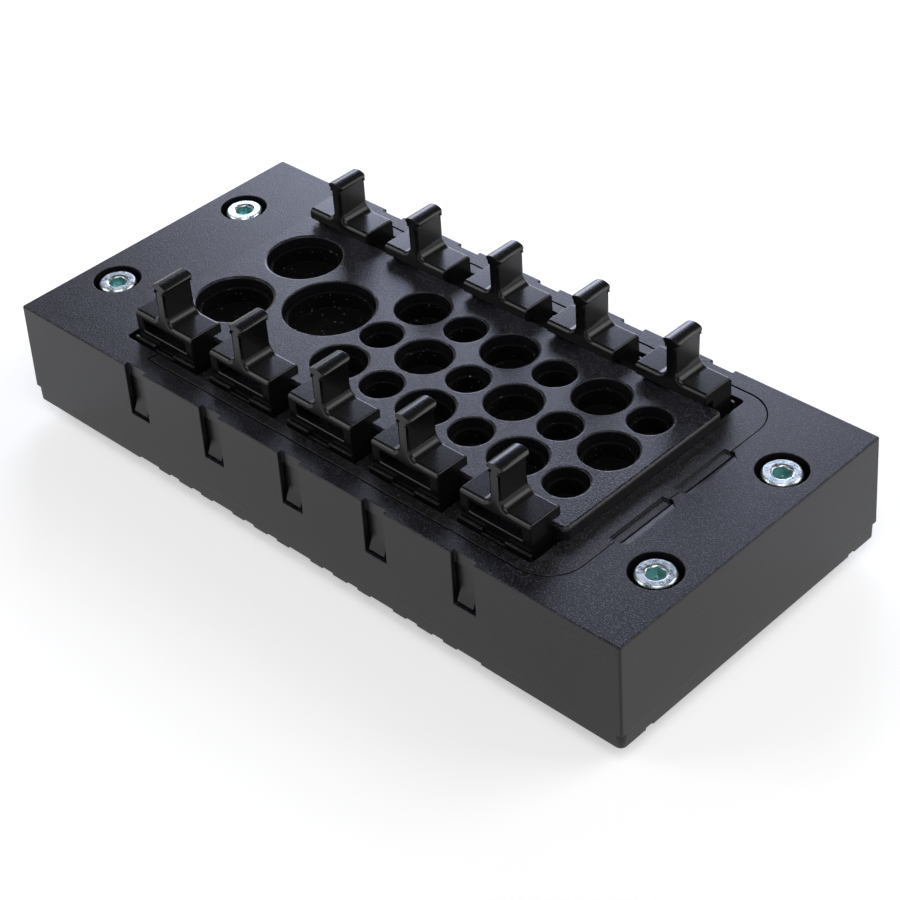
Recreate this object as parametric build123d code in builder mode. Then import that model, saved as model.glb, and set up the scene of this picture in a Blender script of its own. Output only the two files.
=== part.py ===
import os
from math import cos, radians

from build123d import *

os.makedirs("parts", exist_ok=True)

# Cable entry plate. All sizes are in millimetres. The origin is the middle of
# the underside, which lies on the panel. +X runs along the plate and +Z points
# away from the panel. "Front" is the -Y side.

# Outer form of the plate, at the parting line between base and cover
PLATE_LENGTH = 145.0
PLATE_WIDTH = 66.8
PLATE_HEIGHT = 21.0
BAND_HEIGHT = 3.0
BAND_INSET = 0.2
BAND_CORNER_RADIUS = 1.2
DRAFT_ANGLE = 1.2
COVER_CORNER_RADIUS = 0.5
COVER_EDGE_RADIUS = 0.3
WALL_THICKNESS = 1.3
TOP_THICKNESS = 2.6

# Clearances between pieces
SHELL_CLEARANCE = 0.25
SEAT_GAP = 0.05
LUG_CLEARANCE = 0.1
LUG_SIDE_CLEARANCE = 0.3
MAT_CLEARANCE = 0.15
COLLAR_CLEARANCE = 0.1
PLATE_CLEARANCE = 0.2
SEAL_CLEARANCE = 0.2
BOSS_CLEARANCE = 0.3

# Strips of the cover outside the opening and the rim, and the joint around the rim
END_STRIP = 23.5
SIDE_STRIP = 4.4
OPENING_CORNER_RADIUS = 0.6
RIM_END_WIDTH = 6.65
RIM_SIDE_WIDTH = 2.1
RIM_CORNER_RADIUS = 7.0
RIM_START = 8.75
JOINT_GAP = 0.25
JOINT_END_GAP = 0.1

# Two shallow release pockets across the joint at the +X end
RELEASE_LENGTH = 13.2
RELEASE_SPACING = 15.9
RELEASE_INNER_WIDTH = 1.25
RELEASE_TONGUE = 0.55
RELEASE_SLOPE_WIDTH = 1.5
RELEASE_END_SLANT = 1.0
RELEASE_DEPTH = 0.45

# Units along the plate: one lug, one window and one snap nose on each side
UNIT_COUNT = 5
UNIT_END_GAP = 1.4
WINDOW_WIDTH = 4.9
WINDOW_DROP = 10.7
NOSE_WIDTH = 3.6
NOSE_REACH = 1.2
NOSE_RISE = 2.8
NOSE_PLAY = 0.9

# Screws and their holes
SCREW_END_DISTANCE = 7.5
SCREW_SPACING_Y = 32.0
THREAD_DIAMETER = 4.0
SHANK_DIAMETER = 3.5
SCREW_LENGTH = 20.0
SCREW_TIP_CHAMFER = 0.6
HEAD_DIAMETER = 7.0
HEAD_HEIGHT = 4.0
HEAD_EDGE_CHAMFER = 0.35
HEAD_SUNK = 0.35
SOCKET_WIDTH = 3.0
SOCKET_DEPTH = 2.2
SOCKET_MOUTH_DIAMETER = 4.2
SOCKET_MOUTH_DEPTH = 0.35
COUNTERBORE_DIAMETER = 9.0
SCREW_HOLE_DIAMETER = 4.5
BOSS_DIAMETER = 11.6
BOSS_FLOOR = 2.0

# Channels for the lugs and the well for the mat
INNER_WALL_DROP = 2.0
INNER_WALL_THICKNESS = 1.9
WELL_FLOOR = 3.4
CHANNEL_DEPTH = 7.0
SOCKET_LEDGE = 1.0
SOCKET_WALL_THICKNESS = 0.6
SOCKET_NOTCH_WIDTH = 5.0
SOCKET_NOTCH_DEPTH = 0.9

# Lugs
LUG_LENGTH = 15.2
LUG_OVERHANG = 1.95
LUG_RISE = 5.45
CROSSBAR_THICKNESS = 2.2
CROSSBAR_ROOF = 1.45
LUG_EDGE_CHAMFER = 0.5
BRIDGE_WIDTH = 11.3
BRIDGE_DROP = 3.8
NECK_HEIGHT = 6.45
NECK_THICKNESS = 2.14
NECK_HOLLOW = 0.1
NECK_FOOT_RADIUS = 1.8
BEAD_FLARE = 0.75
BEAD_LIP = 0.25
BEAD_RISE = 0.7
BEAD_CORNER_RADIUS = 0.6
BEAD_INNER_SETBACK = 0.15
BEAD_OUTER_SETBACK = 0.45

# Hole plate, with its holes placed from the end of the opening at -X
HOLE_PLATE_LAP = 1.0
HOLE_PLATE_WIDTH = 39.6
HOLE_PLATE_RISE = 2.4
HOLE_PLATE_CORNER_RADIUS = 1.2
HOLE_PLATE_EDGE_RADIUS = 0.7
HOLE_EDGE_CHAMFER = 0.2
SMALL_HOLE_DIAMETER = 7.7
MEDIUM_HOLE_DIAMETER = 10.2
LARGE_HOLE_DIAMETER = 14.2
MAIN_HOLE_DIAMETER = 17.0
LARGE_HOLE_END_DISTANCE = 9.4
LARGE_HOLE_Y = 8.85
LARGE_TO_MAIN = 15.7
MAIN_HOLE_WEB = 1.05
GRID_PITCH = 10.5
GRID_END_MARGIN = 1.5

# Membrane mat
MAT_WALL = 1.6
COLLAR_SINK = 1.8
COLLAR_WALL = 0.8
MEMBRANE_SINK = 5.0
MEMBRANE_THICKNESS = 0.8
DIMPLE_DIAMETER = 5.4
DIMPLE_DEPTH = 0.3

# Seal in the underside and the hollows between it and the edge
SEAL_SCREW_DISTANCE = 3.2
SEAL_INNER_WIDTH = 38.8
SEAL_GROOVE_WIDTH = 4.6
SEAL_GROOVE_DEPTH = 2.0
SEAL_INNER_RADIUS = 3.0
CORE_LAND = 1.75
CORE_WALL = 1.9
CORE_END_WALL = 1.75
CORE_RIB = 1.6
CORE_ROOF = 2.0
CORE_COUNT = 7
END_CORE_LENGTH = 6.0
END_CORE_WIDTH = 9.8

# Notches in the lower edge of the band
NOTCH_DEPTH = 1.2
NOTCH_HEIGHT = 0.4
WIDE_NOTCH = 5.4
NARROW_NOTCH = 2.5
NARROW_NOTCH_DISTANCE = 7.0
END_NOTCH = 1.6
END_NOTCH_INSET = 6.9

# Outer and inner faces of the two shells
cavity_length = PLATE_LENGTH - 2 * WALL_THICKNESS
cavity_width = PLATE_WIDTH - 2 * WALL_THICKNESS
cavity_top = PLATE_HEIGHT - TOP_THICKNESS
body_length = cavity_length - 2 * SHELL_CLEARANCE
body_width = cavity_width - 2 * SHELL_CLEARANCE
body_top = cavity_top - SEAT_GAP

# Opening and rim, from the outer edge inwards
opening_length = PLATE_LENGTH - 2 * END_STRIP
rim_half_width = PLATE_WIDTH / 2 - SIDE_STRIP
opening_width = 2 * (rim_half_width - RIM_SIDE_WIDTH)
rim_left = -opening_length / 2 + RIM_START
rim_right = opening_length / 2 + RIM_END_WIDTH
rim_length = rim_right - rim_left
rim_middle = (rim_right + rim_left) / 2
release_floor = PLATE_HEIGHT - RELEASE_DEPTH
release_inner = rim_right - RELEASE_INNER_WIDTH
release_slope = rim_right + RELEASE_TONGUE + JOINT_GAP
release_outer = release_slope + RELEASE_SLOPE_WIDTH

# Windows, noses and screws
window_bottom = PLATE_HEIGHT - WINDOW_DROP
nose_bottom = window_bottom + NOSE_PLAY
head_seat = PLATE_HEIGHT - HEAD_SUNK - HEAD_HEIGHT
boss_bottom = head_seat - BOSS_FLOOR
screw_spacing_x = PLATE_LENGTH - 2 * SCREW_END_DISTANCE

# The lugs fill the channels between the hole plate and the sockets
inner_wall_top = PLATE_HEIGHT - INNER_WALL_DROP
channel_floor = inner_wall_top - CHANNEL_DEPTH
socket_inner = opening_width / 2 - SOCKET_LEDGE - SOCKET_WALL_THICKNESS
lug_outer = socket_inner - LUG_CLEARANCE
lug_inner = HOLE_PLATE_WIDTH / 2 + PLATE_CLEARANCE
lug_tip = lug_inner - LUG_OVERHANG
lug_foot = channel_floor + SEAT_GAP
lug_top = PLATE_HEIGHT + LUG_RISE
neck_top = lug_top + NECK_HEIGHT
lip_bottom = neck_top + BEAD_FLARE
bead_inner = lug_tip + BEAD_INNER_SETBACK
bead_outer = lug_outer - BEAD_OUTER_SETBACK
channel_inner = lug_inner - LUG_CLEARANCE
unit_pitch = (opening_length - LUG_LENGTH - 2 * UNIT_END_GAP) / (UNIT_COUNT - 1)
unit_x = [(i - (UNIT_COUNT - 1) / 2) * unit_pitch for i in range(UNIT_COUNT)]
units = [(x, side) for side in (-1, 1) for x in unit_x]

# Hole plate, mat and well
hole_plate_length = opening_length + 2 * HOLE_PLATE_LAP
hole_plate_top = PLATE_HEIGHT + HOLE_PLATE_RISE
hole_plate_bottom = inner_wall_top + SEAT_GAP
well_width = 2 * (channel_inner - INNER_WALL_THICKNESS)
mat_top = inner_wall_top - SEAT_GAP
mat_length = opening_length - 2 * MAT_CLEARANCE
mat_width = well_width - 2 * MAT_CLEARANCE
way_length = mat_length - 2 * MAT_WALL
way_width = mat_width - 2 * MAT_WALL
collar_top = hole_plate_top - COLLAR_SINK
membrane_top = hole_plate_top - MEMBRANE_SINK
membrane_bottom = membrane_top - MEMBRANE_THICKNESS

# Seal groove and hollows in the underside
seal_inner_length = screw_spacing_x - 2 * (SEAL_SCREW_DISTANCE + SEAL_GROOVE_WIDTH)
core_outer = body_width / 2 - CORE_WALL
core_inner = SEAL_INNER_WIDTH / 2 + SEAL_GROOVE_WIDTH + CORE_LAND
core_depth = channel_floor - CORE_ROOF
core_pitch = (body_length - 2 * CORE_END_WALL + CORE_RIB) / CORE_COUNT
end_core_x = body_length / 2 - CORE_WALL / 2 - END_CORE_LENGTH / 2

# Holes as (x, y, radius): the main hole, two large ones and the grid of the others
large_hole_x = -opening_length / 2 + LARGE_HOLE_END_DISTANCE
main_hole_x = large_hole_x + LARGE_TO_MAIN
grid_start = main_hole_x + MAIN_HOLE_DIAMETER / 2 + MAIN_HOLE_WEB + SMALL_HOLE_DIAMETER / 2
grid_end = opening_length / 2 - GRID_END_MARGIN - MEDIUM_HOLE_DIAMETER / 2
grid_columns = int((grid_end - grid_start) / GRID_PITCH) + 1
holes = [(main_hole_x, 0.0, MAIN_HOLE_DIAMETER / 2)]
for side in (-1, 1):
    holes.append((large_hole_x, side * LARGE_HOLE_Y, LARGE_HOLE_DIAMETER / 2))
for row in (-1, 0, 1):
    for column in range(grid_columns):
        odd = (row + column) % 2 == 1
        diameter = MEDIUM_HOLE_DIAMETER if odd else SMALL_HOLE_DIAMETER
        holes.append((grid_start + column * GRID_PITCH, row * GRID_PITCH, diameter / 2))


# Tool for the release pockets: a flat floor and a slope that rises to the outer edge
with BuildPart() as release_pocket:
    with BuildSketch(Plane.XY.offset(release_floor)):
        with BuildLine():
            Polyline(
                (release_inner, -RELEASE_LENGTH / 2),
                (release_slope, -RELEASE_LENGTH / 2),
                (release_outer, -RELEASE_LENGTH / 2 + RELEASE_END_SLANT),
                (release_outer, RELEASE_LENGTH / 2 - RELEASE_END_SLANT),
                (release_slope, RELEASE_LENGTH / 2),
                (release_inner, RELEASE_LENGTH / 2),
                close=True,
            )
        make_face()
    extrude(amount=RELEASE_DEPTH + 1)
    with BuildSketch(Plane.XZ):
        with BuildLine():
            Polyline(
                (release_inner, PLATE_HEIGHT + 1),
                (release_inner, release_floor),
                (release_slope, release_floor),
                (release_outer, PLATE_HEIGHT),
                (release_outer, PLATE_HEIGHT + 1),
                close=True,
            )
        make_face()
    extrude(amount=RELEASE_LENGTH, both=True, mode=Mode.INTERSECT)
release_y = [side * RELEASE_SPACING / 2 for side in (-1, 1)]


# Cover: a drafted shell, open below, that snaps over the base
with BuildPart() as cover_frame:
    with BuildSketch(Plane.XY.offset(BAND_HEIGHT)):
        Rectangle(PLATE_LENGTH, PLATE_WIDTH)
    extrude(amount=PLATE_HEIGHT - BAND_HEIGHT, taper=DRAFT_ANGLE)
    corners = cover_frame.edges().group_by(SortBy.LENGTH)[0]
    fillet(corners, radius=COVER_CORNER_RADIUS)
    fillet(cover_frame.faces().sort_by(Axis.Z)[-1].edges(), radius=COVER_EDGE_RADIUS)
    with BuildSketch(Plane.XY.offset(BAND_HEIGHT)):
        Rectangle(cavity_length, cavity_width)
    extrude(amount=cavity_top - BAND_HEIGHT, mode=Mode.SUBTRACT)
    # Bosses that carry the screw heads
    with BuildSketch(Plane.XY.offset(boss_bottom)):
        with GridLocations(screw_spacing_x, SCREW_SPACING_Y, 2, 2):
            Circle(BOSS_DIAMETER / 2)
    extrude(amount=cavity_top - boss_bottom)
    with BuildSketch(Plane.XY.offset(head_seat)):
        with GridLocations(screw_spacing_x, SCREW_SPACING_Y, 2, 2):
            Circle(COUNTERBORE_DIAMETER / 2)
    extrude(amount=PLATE_HEIGHT - head_seat, mode=Mode.SUBTRACT)
    with BuildSketch(Plane.XY.offset(boss_bottom)):
        with GridLocations(screw_spacing_x, SCREW_SPACING_Y, 2, 2):
            Circle(SCREW_HOLE_DIAMETER / 2)
    extrude(amount=BOSS_FLOOR, mode=Mode.SUBTRACT)
    # Opening for the hole plate and the lugs
    with BuildSketch(Plane.XY.offset(cavity_top)):
        RectangleRounded(opening_length, opening_width, OPENING_CORNER_RADIUS)
    extrude(amount=TOP_THICKNESS, mode=Mode.SUBTRACT)
    # Place of the rim of the base, which lies flush in the top
    with BuildSketch(Plane.XY.offset(cavity_top)) as rim_place:
        with Locations((rim_middle + (JOINT_END_GAP - JOINT_GAP) / 2, 0)):
            Rectangle(rim_length + JOINT_GAP + JOINT_END_GAP, 2 * (rim_half_width + JOINT_GAP))
        fillet(rim_place.vertices().group_by(Axis.X)[-1], radius=RIM_CORNER_RADIUS + JOINT_GAP)
        with Locations([(rim_right, y) for y in release_y]):
            Rectangle(2 * (RELEASE_TONGUE + JOINT_GAP), RELEASE_LENGTH + 2 * JOINT_GAP)
    extrude(amount=TOP_THICKNESS, mode=Mode.SUBTRACT)
    with Locations([(0, y, 0) for y in release_y]):
        add(release_pocket.part, mode=Mode.SUBTRACT)
    # Windows for the snap noses, open at the top edge
    with BuildSketch(Plane.XY.offset(window_bottom)):
        for x, side in units:
            with Locations((x, side * (cavity_width / 2 + WALL_THICKNESS))):
                Rectangle(WINDOW_WIDTH, 2 * WALL_THICKNESS)
    extrude(amount=WINDOW_DROP, mode=Mode.SUBTRACT)


# Base: the band at the foot, the body inside the cover and the rim in its top
with BuildPart() as base_carrier:
    with BuildSketch():
        RectangleRounded(PLATE_LENGTH - 2 * BAND_INSET, PLATE_WIDTH - 2 * BAND_INSET, BAND_CORNER_RADIUS)
    extrude(amount=BAND_HEIGHT - SEAT_GAP)
    with BuildSketch():
        Rectangle(body_length, body_width)
    extrude(amount=body_top)
    with BuildSketch(Plane.XY.offset(body_top)) as rim:
        with Locations((rim_middle, 0)):
            Rectangle(rim_length, 2 * rim_half_width)
        fillet(rim.vertices().group_by(Axis.X)[-1], radius=RIM_CORNER_RADIUS)
        with Locations([(rim_right, y) for y in release_y]):
            Rectangle(2 * RELEASE_TONGUE, RELEASE_LENGTH)
    extrude(amount=PLATE_HEIGHT - body_top)
    with Locations([(0, y, 0) for y in release_y]):
        add(release_pocket.part, mode=Mode.SUBTRACT)
    # Room for the bosses of the cover, open at the ends
    with BuildSketch(Plane.XY.offset(boss_bottom - SEAT_GAP)):
        with GridLocations(screw_spacing_x, SCREW_SPACING_Y, 2, 2):
            Circle(BOSS_DIAMETER / 2 + BOSS_CLEARANCE)
        with GridLocations(screw_spacing_x + BOSS_DIAMETER, SCREW_SPACING_Y, 2, 2):
            Rectangle(BOSS_DIAMETER, BOSS_DIAMETER + 2 * BOSS_CLEARANCE)
    extrude(amount=body_top - boss_bottom + SEAT_GAP, mode=Mode.SUBTRACT)
    with BuildSketch():
        with GridLocations(screw_spacing_x, SCREW_SPACING_Y, 2, 2):
            Circle(SCREW_HOLE_DIAMETER / 2)
    extrude(amount=body_top, mode=Mode.SUBTRACT)
    # Opening in the top, the well for the mat and the way through for the cables
    with BuildSketch(Plane.XY.offset(inner_wall_top)):
        RectangleRounded(opening_length, opening_width, OPENING_CORNER_RADIUS)
    extrude(amount=PLATE_HEIGHT - inner_wall_top, mode=Mode.SUBTRACT)
    with BuildSketch(Plane.XY.offset(WELL_FLOOR)):
        Rectangle(opening_length, well_width)
    extrude(amount=inner_wall_top - WELL_FLOOR, mode=Mode.SUBTRACT)
    with BuildSketch():
        Rectangle(way_length, way_width)
    extrude(amount=WELL_FLOOR, mode=Mode.SUBTRACT)
    # Sockets for the lugs, each with a low wall in front of its outer face
    socket_length = LUG_LENGTH + 2 * LUG_SIDE_CLEARANCE
    socket_depth = opening_width / 2 - channel_inner
    with BuildSketch(Plane.XY.offset(channel_floor)):
        for x, side in units:
            with Locations((x, side * (channel_inner + socket_depth / 2))):
                Rectangle(socket_length, socket_depth)
    extrude(amount=inner_wall_top - channel_floor, mode=Mode.SUBTRACT)
    with BuildSketch(Plane.XY.offset(channel_floor)):
        for x, side in units:
            with Locations((x, side * (socket_inner + SOCKET_WALL_THICKNESS / 2))):
                Rectangle(socket_length, SOCKET_WALL_THICKNESS)
    extrude(amount=PLATE_HEIGHT - channel_floor)
    with BuildSketch(Plane.XY.offset(PLATE_HEIGHT - SOCKET_NOTCH_DEPTH)):
        for x, side in units:
            with Locations((x, side * (socket_inner + SOCKET_WALL_THICKNESS / 2))):
                Rectangle(SOCKET_NOTCH_WIDTH, SOCKET_WALL_THICKNESS)
    extrude(amount=SOCKET_NOTCH_DEPTH, mode=Mode.SUBTRACT)
    # Snap noses with a ramp on top and a flat catch below
    for x, side in units:
        with BuildSketch(Plane.YZ.offset(x)):
            with BuildLine():
                Polyline(
                    (side * (body_width / 2 - 1), nose_bottom),
                    (side * (body_width / 2 + NOSE_REACH), nose_bottom),
                    (side * body_width / 2, nose_bottom + NOSE_RISE),
                    (side * (body_width / 2 - 1), nose_bottom + NOSE_RISE),
                    close=True,
                )
            make_face()
        extrude(amount=NOSE_WIDTH / 2, both=True)
    # Groove for the seal
    with BuildSketch():
        RectangleRounded(
            seal_inner_length + 2 * SEAL_GROOVE_WIDTH,
            SEAL_INNER_WIDTH + 2 * SEAL_GROOVE_WIDTH,
            SEAL_INNER_RADIUS + SEAL_GROOVE_WIDTH,
        )
        RectangleRounded(seal_inner_length, SEAL_INNER_WIDTH, SEAL_INNER_RADIUS, mode=Mode.SUBTRACT)
    extrude(amount=SEAL_GROOVE_DEPTH, mode=Mode.SUBTRACT)
    # Hollows outside the seal that keep the walls thin, with ribs between them
    with BuildSketch():
        with GridLocations(core_pitch, core_outer + core_inner, CORE_COUNT, 2):
            Rectangle(core_pitch - CORE_RIB, core_outer - core_inner)
        with GridLocations(2 * end_core_x, END_CORE_WIDTH + CORE_RIB, 2, 2):
            Rectangle(END_CORE_LENGTH, END_CORE_WIDTH)
    extrude(amount=core_depth, mode=Mode.SUBTRACT)
    # Notches along the lower edge of the band
    with BuildSketch():
        for side in (-1, 1):
            edge_y = side * (PLATE_WIDTH / 2 - BAND_INSET)
            with Locations([(x, edge_y) for x in unit_x]):
                Rectangle(WIDE_NOTCH, 2 * NOTCH_DEPTH)
            with Locations([(x + NARROW_NOTCH_DISTANCE, edge_y) for x in unit_x[:-1]]):
                Rectangle(NARROW_NOTCH, 2 * NOTCH_DEPTH)
            with Locations([(x - NARROW_NOTCH_DISTANCE, edge_y) for x in unit_x[1:]]):
                Rectangle(NARROW_NOTCH, 2 * NOTCH_DEPTH)
        with GridLocations(PLATE_LENGTH - 2 * BAND_INSET, PLATE_WIDTH - 2 * END_NOTCH_INSET, 2, 2):
            Rectangle(2 * NOTCH_DEPTH, END_NOTCH)
    extrude(amount=NOTCH_HEIGHT, mode=Mode.SUBTRACT)


# Seal: a flat ring that fills the groove
with BuildPart() as panel_seal:
    seal_width = SEAL_GROOVE_WIDTH - 2 * SEAL_CLEARANCE
    with BuildSketch():
        RectangleRounded(
            seal_inner_length + 2 * (SEAL_CLEARANCE + seal_width),
            SEAL_INNER_WIDTH + 2 * (SEAL_CLEARANCE + seal_width),
            SEAL_INNER_RADIUS + SEAL_CLEARANCE + seal_width,
        )
        RectangleRounded(
            seal_inner_length + 2 * SEAL_CLEARANCE,
            SEAL_INNER_WIDTH + 2 * SEAL_CLEARANCE,
            SEAL_INNER_RADIUS + SEAL_CLEARANCE,
            mode=Mode.SUBTRACT,
        )
    extrude(amount=SEAL_GROOVE_DEPTH - SEAT_GAP)


# Mat: a tray upside down, with a collar and a membrane for each hole
with BuildPart() as membrane_mat:
    mat_bottom = WELL_FLOOR + SEAT_GAP
    with BuildSketch(Plane.XY.offset(mat_bottom)):
        Rectangle(mat_length, mat_width)
    extrude(amount=mat_top - mat_bottom)
    with BuildSketch(Plane.XY.offset(mat_bottom)):
        Rectangle(way_length, way_width)
    extrude(amount=membrane_bottom - mat_bottom, mode=Mode.SUBTRACT)
    with BuildSketch(Plane.XY.offset(membrane_bottom)):
        for x, y, radius in holes:
            with Locations((x, y)):
                Circle(radius - COLLAR_CLEARANCE)
    extrude(amount=collar_top - membrane_bottom)
    with BuildSketch(Plane.XY.offset(membrane_top)):
        for x, y, radius in holes:
            with Locations((x, y)):
                Circle(radius - COLLAR_CLEARANCE - COLLAR_WALL)
    extrude(amount=collar_top - membrane_top, mode=Mode.SUBTRACT)
    with BuildSketch(Plane.XY.offset(membrane_top - DIMPLE_DEPTH)):
        with Locations((main_hole_x, 0)):
            Circle(DIMPLE_DIAMETER / 2)
    extrude(amount=DIMPLE_DEPTH, mode=Mode.SUBTRACT)


# Hole plate: rests on the inner walls of the base and overlaps the ends of the opening
with BuildPart() as hole_plate:
    flange_bottom = PLATE_HEIGHT + SEAT_GAP
    with BuildSketch(Plane.XY.offset(hole_plate_bottom)):
        RectangleRounded(
            opening_length - 2 * PLATE_CLEARANCE,
            HOLE_PLATE_WIDTH,
            HOLE_PLATE_CORNER_RADIUS,
        )
    extrude(amount=flange_bottom - hole_plate_bottom)
    with BuildSketch(Plane.XY.offset(flange_bottom)):
        RectangleRounded(hole_plate_length, HOLE_PLATE_WIDTH, HOLE_PLATE_CORNER_RADIUS)
    extrude(amount=hole_plate_top - flange_bottom)
    fillet(hole_plate.faces().sort_by(Axis.Z)[-1].edges(), radius=HOLE_PLATE_EDGE_RADIUS)
    with BuildSketch(Plane.XY.offset(hole_plate_bottom)):
        for x, y, radius in holes:
            with Locations((x, y)):
                Circle(radius)
    extrude(amount=hole_plate_top - hole_plate_bottom, mode=Mode.SUBTRACT)
    top_edges = hole_plate.faces().sort_by(Axis.Z)[-1].inner_wires().edges()
    chamfer(top_edges, length=HOLE_EDGE_CHAMFER)


def tie_lug(x, side):
    """One T-shaped lug at x along the plate, on the front (-1) or back (+1) side."""
    # Bead that flares out of the neck, with rounded corners and a domed top. Its outline is drawn
    # 1 mm too wide and too long, and the rounded block trims it.
    bead_side = NECK_THICKNESS / 2 + BEAD_FLARE
    lip_top = lip_bottom + BEAD_LIP
    bead_top = lip_top + BEAD_RISE
    knee = BEAD_FLARE * (1 - cos(radians(45)))
    with BuildPart() as bead:
        with BuildSketch(Plane.XZ.offset(bead_inner - 1 if side < 0 else -bead_outer - 1)):
            with BuildLine():
                Line((x + NECK_THICKNESS / 2, neck_top), (x - NECK_THICKNESS / 2, neck_top))
                ThreePointArc(
                    (x - NECK_THICKNESS / 2, neck_top),
                    (x - NECK_THICKNESS / 2 - knee, lip_bottom - knee),
                    (x - bead_side, lip_bottom),
                )
                Polyline(
                    (x - bead_side, lip_bottom),
                    (x - bead_side - 1, lip_bottom),
                    (x - bead_side - 1, lip_top),
                    (x - bead_side, lip_top),
                )
                ThreePointArc((x - bead_side, lip_top), (x, bead_top), (x + bead_side, lip_top))
                Polyline(
                    (x + bead_side, lip_top),
                    (x + bead_side + 1, lip_top),
                    (x + bead_side + 1, lip_bottom),
                    (x + bead_side, lip_bottom),
                )
                ThreePointArc(
                    (x + bead_side, lip_bottom),
                    (x + NECK_THICKNESS / 2 + knee, lip_bottom - knee),
                    (x + NECK_THICKNESS / 2, neck_top),
                )
            make_face()
        extrude(amount=bead_outer - bead_inner + 2)
        with BuildSketch(Plane.XY.offset(neck_top)):
            with Locations((x, side * (bead_inner + bead_outer) / 2)):
                RectangleRounded(2 * bead_side, bead_outer - bead_inner, BEAD_CORNER_RADIUS)
        extrude(amount=bead_top - neck_top + 1, mode=Mode.INTERSECT)
    with BuildPart() as lug:
        # Crossbar and neck as one profile, with hollow curves at the foot of the neck
        crossbar_middle = lug_top - CROSSBAR_THICKNESS / 2
        with BuildSketch(Plane.XZ.offset(lug_tip if side < 0 else -lug_outer)) as profile:
            with Locations((x, crossbar_middle)):
                Rectangle(LUG_LENGTH, CROSSBAR_THICKNESS)
            with Locations((x, (crossbar_middle + neck_top) / 2)):
                Rectangle(NECK_THICKNESS, neck_top - crossbar_middle)
            level = [v for v in profile.vertices() if abs(v.Y - lug_top) < 0.01]
            foot = [v for v in level if abs(v.X - x) < NECK_THICKNESS]
            fillet(foot, radius=NECK_FOOT_RADIUS)
        extrude(amount=lug_outer - lug_tip)
        # Both faces are chamfered along the crossbar and up the neck
        long_faces = lug.faces().sort_by(Axis.Y)
        outline = long_faces[0].edges() + long_faces[-1].edges()
        upper = [e for e in outline if lug_top - 0.01 < e.center().Z < neck_top - 0.01]
        chamfer(upper, length=LUG_EDGE_CHAMFER)
        # Body below the crossbar
        with BuildSketch(Plane.XY.offset(lug_foot)):
            with Locations((x, side * (lug_inner + lug_outer) / 2)):
                Rectangle(LUG_LENGTH, lug_outer - lug_inner)
        extrude(amount=crossbar_middle - lug_foot)
        # The neck is hollow on its inner face and leans back on its outer face
        with BuildSketch(Plane.YZ.offset(x)):
            with BuildLine():
                ThreePointArc(
                    (side * lug_tip, lug_top),
                    (side * (bead_inner + NECK_HOLLOW), (lug_top + neck_top) / 2),
                    (side * bead_inner, neck_top),
                )
                Line((side * bead_inner, neck_top), (side * (lug_tip - 1), neck_top))
                Line((side * (lug_tip - 1), neck_top), (side * (lug_tip - 1), lug_top))
                Line((side * (lug_tip - 1), lug_top), (side * lug_tip, lug_top))
            make_face()
            with BuildLine():
                Polyline(
                    (side * lug_outer, lug_top - LUG_EDGE_CHAMFER),
                    (side * bead_outer, neck_top),
                    (side * lug_outer, neck_top),
                    close=True,
                )
            make_face()
        extrude(amount=LUG_LENGTH, both=True, mode=Mode.SUBTRACT)
        # Bridge that is open to the front and the back
        with BuildSketch(Plane.XY.offset(lug_top - BRIDGE_DROP)):
            with Locations((x, side * (lug_inner + lug_outer) / 2)):
                Rectangle(BRIDGE_WIDTH, lug_outer - lug_inner)
        extrude(amount=BRIDGE_DROP - CROSSBAR_ROOF, mode=Mode.SUBTRACT)
        add(bead.part)
    return lug


# Screws: socket head cap screws
def cap_screw(x, y):
    """One screw, with its head on the floor of the counterbore."""
    with BuildPart() as screw:
        with BuildSketch(Plane.XY.offset(head_seat)):
            with Locations((x, y)):
                Circle(HEAD_DIAMETER / 2)
        extrude(amount=HEAD_HEIGHT)
        chamfer(screw.faces().sort_by(Axis.Z)[-1].edges(), length=HEAD_EDGE_CHAMFER)
        with BuildSketch(Plane.XY.offset(head_seat + HEAD_HEIGHT - SOCKET_DEPTH)):
            with Locations((x, y)):
                RegularPolygon(SOCKET_WIDTH / 2 / cos(radians(30)), 6)
        extrude(amount=SOCKET_DEPTH, mode=Mode.SUBTRACT)
        with Locations((x, y, head_seat + HEAD_HEIGHT - SOCKET_MOUTH_DEPTH / 2)):
            Cone(SOCKET_WIDTH / 2, SOCKET_MOUTH_DIAMETER / 2, SOCKET_MOUTH_DEPTH, mode=Mode.SUBTRACT)
        # The shank is thinner than the thread, which starts below the plate
        with BuildSketch():
            with Locations((x, y)):
                Circle(SHANK_DIAMETER / 2)
        extrude(amount=head_seat)
        with BuildSketch():
            with Locations((x, y)):
                Circle(THREAD_DIAMETER / 2)
        extrude(amount=head_seat - SCREW_LENGTH)
        chamfer(screw.faces().sort_by(Axis.Z)[0].edges(), length=SCREW_TIP_CHAMFER)
    return screw


pieces = {
    "cover_frame": cover_frame,
    "base_carrier": base_carrier,
    "panel_seal": panel_seal,
    "membrane_mat": membrane_mat,
    "hole_plate": hole_plate,
}
for side, row in ((-1, "front"), (1, "back")):
    for number, x in enumerate(unit_x, start=1):
        pieces[f"tie_lug_{row}_{number}"] = tie_lug(x, side)
screw_places = [(sx * screw_spacing_x / 2, sy * SCREW_SPACING_Y / 2) for sy in (-1, 1) for sx in (-1, 1)]
for number, (x, y) in enumerate(screw_places, start=1):
    pieces[f"screw_{number}"] = cap_screw(x, y)

for name, piece in pieces.items():
    piece.part.label = name
    export_step(piece.part, f"parts/{name}.step")
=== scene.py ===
from math import cos, radians, sin

import bmesh
import bpy
from mathutils import Matrix, Vector


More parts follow.
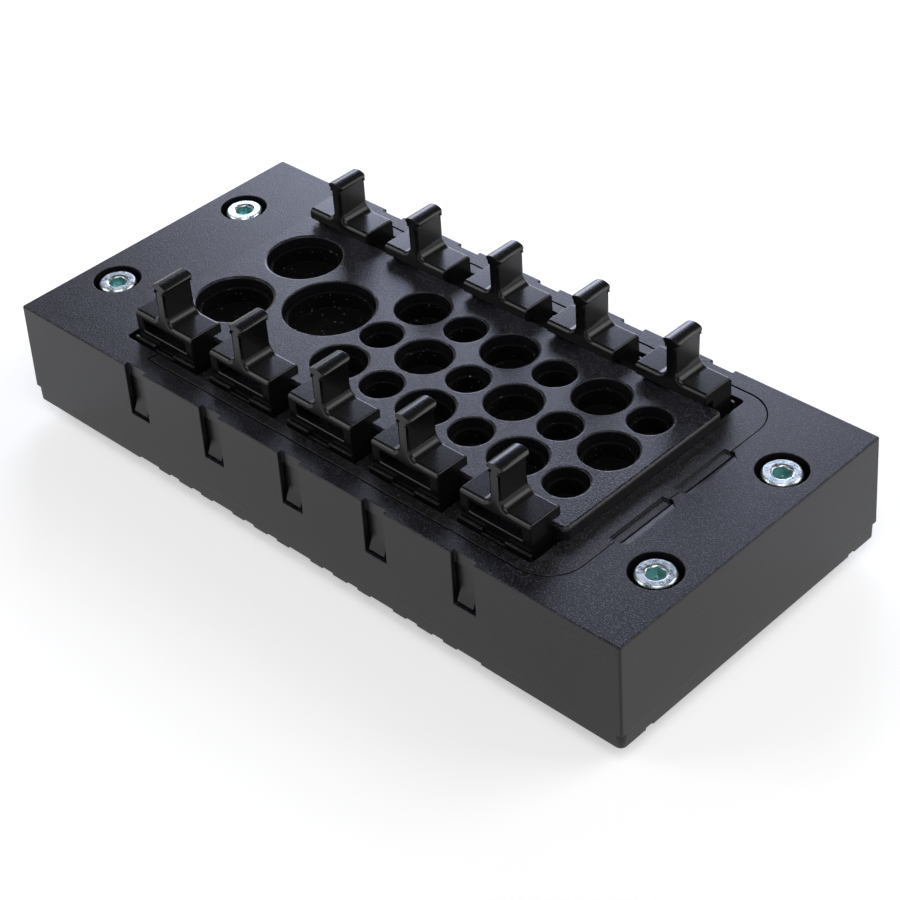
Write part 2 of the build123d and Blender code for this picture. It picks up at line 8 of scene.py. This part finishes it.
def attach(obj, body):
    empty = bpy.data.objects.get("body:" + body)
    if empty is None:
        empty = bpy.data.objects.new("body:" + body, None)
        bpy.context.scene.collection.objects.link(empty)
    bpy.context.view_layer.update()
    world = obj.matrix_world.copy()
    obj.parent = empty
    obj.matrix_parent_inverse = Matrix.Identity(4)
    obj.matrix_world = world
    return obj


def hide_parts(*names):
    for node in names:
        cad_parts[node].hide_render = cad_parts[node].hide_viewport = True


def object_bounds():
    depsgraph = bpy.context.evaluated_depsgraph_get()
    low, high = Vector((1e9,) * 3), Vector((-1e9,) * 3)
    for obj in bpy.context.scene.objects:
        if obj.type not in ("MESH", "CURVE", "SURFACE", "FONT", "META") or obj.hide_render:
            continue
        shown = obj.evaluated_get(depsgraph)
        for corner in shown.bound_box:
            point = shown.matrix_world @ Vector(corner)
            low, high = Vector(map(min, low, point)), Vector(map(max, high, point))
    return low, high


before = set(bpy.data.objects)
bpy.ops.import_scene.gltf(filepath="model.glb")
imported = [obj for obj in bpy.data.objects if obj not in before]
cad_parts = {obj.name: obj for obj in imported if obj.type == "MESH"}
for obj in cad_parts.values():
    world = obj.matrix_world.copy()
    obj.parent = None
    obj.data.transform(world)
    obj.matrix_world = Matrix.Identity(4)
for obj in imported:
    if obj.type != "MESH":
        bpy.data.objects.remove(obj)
cad_low, cad_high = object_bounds()

# The base carrier is the inner shell: the band at the foot, the walls inside the cover, the snap
# noses in its windows and the flush rim in its top. It is injection moulded in black polyamide.
mm = 0.001
MOULD_EDGE = 0.12 * mm
# Edges sharper than this are rounded, and faces flatter than this are one face
SHARP_ANGLE = radians(38)
FLAT_ANGLE = radians(0.4)
MERGE_DISTANCE = 0.0005 * mm
BASE_BLACK = (0.0045, 0.0043, 0.0042)
# Paler colour painted on the grain peaks as glints
BASE_PAINTED_GLINT = (0.06, 0.06, 0.075)
# Share of the light that black polyamide mirrors, on Blender's scale where 0.5 is plain
MOULD_SPECULAR = 0.34
MOULD_ROUGHNESS = (0.33, 0.47)
GRAIN_SIZE = 0.27 * mm
GRAIN_DEPTH = 0.05 * mm
GRAIN_ON_WALLS = 0.2
# The grain grows from its share on walls to its full depth between these slopes, where 1 is level
WALL_TO_LEVEL = (0.3, 0.9)
# The speckle counts as a peak between these heights, where 0.5 is its middle
GRAIN_PEAKS = (0.53, 0.66)


def merged_copy(node):
    """The mesh of a node as one closed surface, with its flat faces whole."""
    bm = bmesh.new()
    bm.from_mesh(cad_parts[node].data)
    bmesh.ops.remove_doubles(bm, verts=bm.verts, dist=MERGE_DISTANCE)
    bmesh.ops.dissolve_limit(bm, angle_limit=FLAT_ANGLE, verts=bm.verts, edges=bm.edges)
    return bm


def round_off(bm, edges, offset, segments):
    """Bevels a list of edges."""
    bmesh.ops.bevel(
        bm, geom=edges, offset=offset, offset_type="OFFSET", segments=segments, profile=0.5,
        affect="EDGES", material=-1, clamp_overlap=False,
    )


def ease_edges(bm, offset, segments=2, above=None):
    """Rounds the sharp edges of a mesh, or only those above a height."""
    sharp = [e for e in bm.edges if e.is_manifold and e.calc_face_angle() > SHARP_ANGLE]
    if above is not None:
        sharp = [e for e in sharp if min(v.co.z for v in e.verts) > above]
    round_off(bm, sharp, offset, segments)
    return bm


def fit_piece(name, bm, material, node):
    """Puts a finished mesh, smooth shaded, in the place of a node of the frame."""
    mesh = bpy.data.meshes.new(name)
    bm.to_mesh(mesh)
    bm.free()
    for polygon in mesh.polygons:
        polygon.use_smooth = True
    mesh.materials.append(material)
    piece = bpy.data.objects.new(name, mesh)
    bpy.context.scene.collection.objects.link(piece)
    shading = piece.modifiers.new("even_shading", "WEIGHTED_NORMAL")
    shading.keep_sharp = True
    shading.weight = 100
    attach(piece, "root")
    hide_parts(node)


def add_node(tree, kind, inputs, **settings):
    """A shader node. Each input is a value or another node's output."""
    node = tree.nodes.new("ShaderNode" + kind)
    for setting, value in settings.items():
        setattr(node, setting, value)
    for socket, value in inputs.items():
        if isinstance(value, bpy.types.NodeSocket):
            tree.links.new(value, node.inputs[socket])
        else:
            node.inputs[socket].default_value = value
    return node


def ramp(tree, value, start, end, low=0.0, high=1.0, curve="LINEAR"):
    """Low where the value is at start, high where it is at end, and a blend between them."""
    limits = {"Value": value, "From Min": start, "From Max": end, "To Min": low, "To Max": high}
    return add_node(tree, "MapRange", limits, interpolation_type=curve).outputs["Result"]


def speckle(tree, place, size, **inputs):
    """Smooth noise from 0 to 1, with spots of about the given size."""
    inputs = {"Vector": place.outputs["Object"], "Scale": 1 / size, **inputs}
    return add_node(tree, "TexNoise", inputs).outputs["Fac"]


def blend(tree, share, colour, other):
    """One colour, or the other where the share is 1."""
    inputs = {"Factor": share, "A": colour, "B": other}
    return add_node(tree, "Mix", inputs, data_type="RGBA").outputs["Result"]


def moulded_black(
    name, colour, painted_glint, roughness=MOULD_ROUGHNESS, specular=MOULD_SPECULAR,
    grain_size=GRAIN_SIZE, grain_depth=GRAIN_DEPTH, on_walls=GRAIN_ON_WALLS,
):
    """Moulded black: grain on level faces, a share on walls, glints painted on its peaks."""
    material = bpy.data.materials.new(name)
    material.use_nodes = True
    tree = material.node_tree
    shader = tree.nodes["Principled BSDF"]
    shader.inputs["IOR"].default_value = 1.5
    shader.inputs["Specular IOR Level"].default_value = specular
    place = add_node(tree, "TexCoord", {})
    # How much grain the face has, from its slope
    facing = add_node(tree, "SeparateXYZ", {"Vector": place.outputs["Normal"]})
    upright = add_node(tree, "Math", {0: facing.outputs["Z"]}, operation="ABSOLUTE")
    level = ramp(tree, upright.outputs["Value"], *WALL_TO_LEVEL, low=on_walls)
    # The grain as relief
    grain = speckle(tree, place, grain_size, Detail=2.0, Roughness=0.6)
    bump = add_node(tree, "Bump", {"Distance": grain_depth, "Strength": level, "Height": grain})
    tree.links.new(bump.outputs["Normal"], shader.inputs["Normal"])
    # Its peaks are rougher, and paler as painted glints
    peaks = ramp(tree, grain, *GRAIN_PEAKS)
    share = add_node(tree, "Math", {0: peaks, 1: level}, operation="MULTIPLY").outputs["Value"]
    tree.links.new(ramp(tree, share, 0.0, 1.0, *roughness), shader.inputs["Roughness"])
    tree.links.new(blend(tree, share, (*colour, 1), (*painted_glint, 1)), shader.inputs["Base Color"])
    return material


base_plastic = moulded_black("base_plastic", BASE_BLACK, BASE_PAINTED_GLINT)
bm = ease_edges(merged_copy("base_carrier"), MOULD_EDGE)
fit_piece("base_shell", bm, base_plastic, "base_carrier")

# The seal is a flat ring of soft black rubber in the groove of the underside. It is pressed into
# the groove and stays there while the plate is mounted.
SEAL_BLACK = (0.012, 0.012, 0.012)
# Paler colour painted on the grain peaks as glints
SEAL_PAINTED_GLINT = (0.02, 0.02, 0.02)
seal_rubber = moulded_black(
    "seal_rubber", SEAL_BLACK, SEAL_PAINTED_GLINT, roughness=(0.7, 0.8), specular=0.4,
    grain_size=0.5 * mm, grain_depth=0.02 * mm, on_walls=1.0,
)
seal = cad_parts["panel_seal"].data
seal.materials.clear()
seal.materials.append(seal_rubber)

# The cover is the outer shell with the flat grained top and the drafted walls. It is moulded in
# the same black polyamide and snaps over the noses of the base.
COVER_BLACK = (0.0045, 0.0045, 0.0056)
# Paler colour painted on the grain peaks as glints
COVER_PAINTED_GLINT = (0.06, 0.06, 0.085)
cover_plastic = moulded_black("cover_plastic", COVER_BLACK, COVER_PAINTED_GLINT)
bm = ease_edges(merged_copy("cover_frame"), MOULD_EDGE)
fit_piece("cover_shell", bm, cover_plastic, "cover_frame")

# The mat is one piece of soft black elastomer with a membrane in every hole and a collar round
# it. It lies in the well below the hole plate, and a few specks of dust cling to it.
MAT_EDGE = 0.12 * mm
MAT_BLACK = (0.0014, 0.0013, 0.0013)
# Paler colour painted on the grain peaks as glints
MAT_PAINTED_GLINT = (0.004, 0.0036, 0.0033)
DUST = (0.20, 0.18, 0.15)
DUST_SIZE = 0.55 * mm
DUST_LEVELS = (0.70, 0.74)
mat_rubber = moulded_black(
    "mat_rubber", MAT_BLACK, MAT_PAINTED_GLINT, roughness=(0.6, 0.7), specular=0.14,
    grain_size=0.3 * mm, grain_depth=0.02 * mm, on_walls=1.0,
)
tree = mat_rubber.node_tree
colour = tree.nodes["Principled BSDF"].inputs["Base Color"]
clean = colour.links[0].from_socket
dust = ramp(tree, speckle(tree, add_node(tree, "TexCoord", {}), DUST_SIZE), *DUST_LEVELS)
tree.links.new(blend(tree, dust, clean, (*DUST, 1)), colour)
bm = ease_edges(merged_copy("membrane_mat"), MAT_EDGE)
fit_piece("mat_with_membranes", bm, mat_rubber, "membrane_mat")

# The hole plate is the raised hard plate that holds the mat down. It is moulded with a rounded
# edge and 21 round holes, and has the grain of the cover.
PLATE_EDGE = 0.1 * mm
PLATE_ROUGHNESS = (0.30, 0.44)
PLATE_SPECULAR = 0.36
HOLE_CHAMFER = 0.2 * mm
CHAMFER_REACH = (0.15 * mm, 0.25 * mm)
RIM_SPREAD = 0.2 * mm
RIM_EDGE = 0.16 * mm
RIM_ANGLE = radians(5)
NEAR = 0.01 * mm
plate_plastic = moulded_black(
    "plate_plastic", COVER_BLACK, COVER_PAINTED_GLINT, PLATE_ROUGHNESS, PLATE_SPECULAR
)
bm = merged_copy("hole_plate")
plate_top = max(v.co.z for v in bm.verts)
# Corners on the upper edge of a hole's chamfer move outwards where its foot has a corner nearly
# opposite them, and the edges between two such corners are rounded
spread = {}
for corner in bm.verts:
    for edge in corner.link_edges:
        foot = edge.other_vert(corner)
        on_top = abs(corner.co.z - plate_top) < NEAR
        down_chamfer = abs(plate_top - HOLE_CHAMFER - foot.co.z) < NEAR
        outwards = Vector((corner.co.x - foot.co.x, corner.co.y - foot.co.y, 0))
        opposite = CHAMFER_REACH[0] < outwards.length < CHAMFER_REACH[1]
        if on_top and down_chamfer and opposite:
            spread[corner] = outwards.normalized() * RIM_SPREAD
for corner, shift in spread.items():
    corner.co += shift
bm.normal_update()
rim = [
    e for e in bm.edges
    if all(v in spread for v in e.verts) and e.calc_face_angle() > RIM_ANGLE
]
round_off(bm, rim, RIM_EDGE, segments=3)
fit_piece("plate_with_holes", ease_edges(bm, PLATE_EDGE), plate_plastic, "hole_plate")

# The ten tie lugs are plugged into sockets beside the hole plate. They are moulded in smooth black
# polyamide and hold the ties of the cables.
LUG_BLACK = (0.004, 0.004, 0.0045)
# Paler colour painted on the grain peaks as glints
LUG_PAINTED_GLINT = (0.008, 0.008, 0.009)
LUG_EDGE = 0.26 * mm
BEAD_EDGE = 0.1 * mm
BEAD_START = 33 * mm
lug_plastic = moulded_black(
    "lug_plastic", LUG_BLACK, LUG_PAINTED_GLINT, roughness=(0.25, 0.28), specular=0.34,
    grain_size=0.3 * mm, grain_depth=0.005 * mm, on_walls=0.15,
)
for row in ("front", "back"):
    for number in range(1, 6):
        node = f"tie_lug_{row}_{number}"
        # The small bead along the top is rounded first and less than the rest
        lug = ease_edges(merged_copy(node), BEAD_EDGE, segments=3, above=BEAD_START)
        ease_edges(lug, LUG_EDGE, segments=3)
        fit_piece(f"lug_{row}_{number}", lug, lug_plastic, node)

# The four cap screws are steel with a bright zinc finish and a hexagon socket. The zinc is patchy
# and whitish on the head, and blue green in the socket.
SCREW_EDGE = 0.06 * mm
HEAD_TOP = 20.65 * mm
SOCKET_FLOOR = HEAD_TOP - 2.6 * mm
ZINC_DARK = (0.36, 0.44, 0.46)
ZINC_PALE = (0.68, 0.71, 0.70)
ZINC_IN_SOCKET = (0.36, 0.58, 0.57)
TINT_START = HEAD_TOP - 0.3 * mm
TINT_FULL = HEAD_TOP - 0.8 * mm
TINT_END = SOCKET_FLOOR - 0.4 * mm
ZINC_ROUGHNESS = (0.16, 0.42)
PATCH_SIZE = 1.1 * mm
PATCH_LEVELS = (0.35, 0.65)
PIT_SIZE = 0.35 * mm
PIT_DEPTH = 0.03 * mm
zinc = bpy.data.materials.new("bright_zinc")
zinc.use_nodes = True
tree = zinc.node_tree
shader = tree.nodes["Principled BSDF"]
shader.inputs["Metallic"].default_value = 1.0
place = add_node(tree, "TexCoord", {})
height = add_node(tree, "SeparateXYZ", {"Vector": place.outputs["Object"]}).outputs["Z"]
patches = speckle(tree, place, PATCH_SIZE, Detail=3.0)
patchy = blend(tree, ramp(tree, patches, *PATCH_LEVELS), (*ZINC_DARK, 1), (*ZINC_PALE, 1))
below_rim = ramp(tree, height, TINT_START, TINT_FULL)
above_floor = ramp(tree, height, TINT_END, SOCKET_FLOOR)
in_socket = add_node(tree, "Math", {0: below_rim, 1: above_floor}, operation="MULTIPLY")
tinted = blend(tree, in_socket.outputs["Value"], patchy, (*ZINC_IN_SOCKET, 1))
tree.links.new(tinted, shader.inputs["Base Color"])
tree.links.new(ramp(tree, patches, 0.0, 1.0, *ZINC_ROUGHNESS), shader.inputs["Roughness"])
pits = speckle(tree, place, PIT_SIZE)
bump = add_node(tree, "Bump", {"Distance": PIT_DEPTH, "Strength": 1.0, "Height": pits})
tree.links.new(bump.outputs["Normal"], shader.inputs["Normal"])
for number in range(1, 5):
    node = f"screw_{number}"
    fit_piece(f"cap_screw_{number}", ease_edges(merged_copy(node), SCREW_EDGE), zinc, node)

# The floor is a sheet of white studio paper that the screw tips stand on. It takes the shadow of
# the plate, and to the camera and in reflections it glows up to white away from it.
FLOOR_SIZE = 3.0
PAPER_WHITE = (0.8, 0.8, 0.8, 1)
# Distance from the middle of the plate in metres, and the strength of the glow there
GLOW_NEAR = (0.15, 0.42)
GLOW_FAR = (0.7, 0.85)
bm = bmesh.new()
bmesh.ops.create_grid(
    bm, x_segments=1, y_segments=1, size=FLOOR_SIZE, matrix=Matrix.Translation((0, 0, cad_low.z))
)
sheet = bpy.data.meshes.new("floor")
bm.to_mesh(sheet)
bm.free()
floor = bpy.data.objects.new("floor", sheet)
bpy.context.scene.collection.objects.link(floor)
paper = bpy.data.materials.new("white_paper")
paper.use_nodes = True
tree = paper.node_tree
shader = tree.nodes["Principled BSDF"]
shader.inputs["Base Color"].default_value = PAPER_WHITE
shader.inputs["Roughness"].default_value = 0.9
shader.inputs["Emission Color"].default_value = (1, 1, 1, 1)
rays = add_node(tree, "LightPath", {}).outputs
seen = rays["Is Camera Ray"]
for other in ("Is Glossy Ray", "Is Transmission Ray"):
    seen = add_node(tree, "Math", {0: seen, 1: rays[other]}, operation="MAXIMUM").outputs["Value"]
place = add_node(tree, "TexCoord", {})
away = add_node(tree, "VectorMath", {0: place.outputs["Object"]}, operation="LENGTH")
glow = ramp(
    tree, away.outputs["Value"], GLOW_NEAR[0], GLOW_FAR[0], GLOW_NEAR[1], GLOW_FAR[1],
    curve="SMOOTHSTEP",
)
glow = add_node(tree, "Math", {0: seen, 1: glow}, operation="MULTIPLY")
tree.links.new(glow.outputs["Value"], shader.inputs["Emission Strength"])
sheet.materials.append(paper)

# The studio round the plate is white near the floor and dark overhead, so that the walls mirror a
# white floor and the level faces stay black.
# Height in the view, from 0 at the horizon to 1 overhead, and the strength of the white there
SKY_LOW = (0.12, 1.0)
SKY_HIGH = (0.5, 0.08)
world = bpy.data.worlds.new("studio")
bpy.context.scene.world = world
world.use_nodes = True
tree = world.node_tree
background = tree.nodes["Background"]
background.inputs["Color"].default_value = (1, 1, 1, 1)
place = add_node(tree, "TexCoord", {})
height = add_node(tree, "SeparateXYZ", {"Vector": place.outputs["Generated"]}).outputs["Z"]
strength = ramp(
    tree, height, SKY_LOW[0], SKY_HIGH[0], SKY_LOW[1], SKY_HIGH[1], curve="SMOOTHSTEP"
)
tree.links.new(strength, background.inputs["Strength"])

# Four soft boxes light the plate. The cool one behind it makes the sheen on the level faces, and
# the others fill the walls and the lugs.
AIM = Vector((0, 0, 0.02))


def soft_box(name, azimuth, elevation, distance, size, power, colour=(1, 1, 1)):
    """A rectangular studio lamp that looks at the plate."""
    turn = Vector((
        cos(radians(azimuth)) * cos(radians(elevation)),
        sin(radians(azimuth)) * cos(radians(elevation)),
        sin(radians(elevation)),
    ))
    lamp = bpy.data.lights.new(name, "AREA")
    lamp.shape = "RECTANGLE"
    lamp.size, lamp.size_y = size
    lamp.energy = power
    lamp.color = colour
    box = bpy.data.objects.new(name, lamp)
    box.location = AIM + turn * distance
    box.rotation_euler = (-turn).to_track_quat("-Z", "Y").to_euler()
    bpy.context.scene.collection.objects.link(box)


soft_box("back_box", 129, 20, distance=0.8, size=(0.44, 0.36), power=3.0, colour=(0.86, 0.92, 1.2))
soft_box("side_box", 46, 36, distance=0.9, size=(0.6, 0.4), power=2.6)
soft_box("left_box", -134, 32, distance=0.9, size=(0.4, 0.4), power=1.6)
soft_box("front_box", -43, 64, distance=1.0, size=(0.6, 0.6), power=3.4)

# The camera stands where the photograph was taken, to the right of the front and well above the
# plate, with a long lens.
camera = bpy.data.cameras.new("photo_camera")
camera.sensor_width = 36
camera.lens = 87.79
camera.clip_start = 0.01
camera.clip_end = 10
eye = bpy.data.objects.new("photo_camera", camera)
eye.location = (0.22754, -0.21241, 0.24408)
eye.rotation_euler = (radians(52.0844), radians(3.5362), radians(43.6275))
bpy.context.scene.collection.objects.link(eye)
bpy.context.scene.camera = eye
bpy.context.scene.view_settings.view_transform = "Standard"
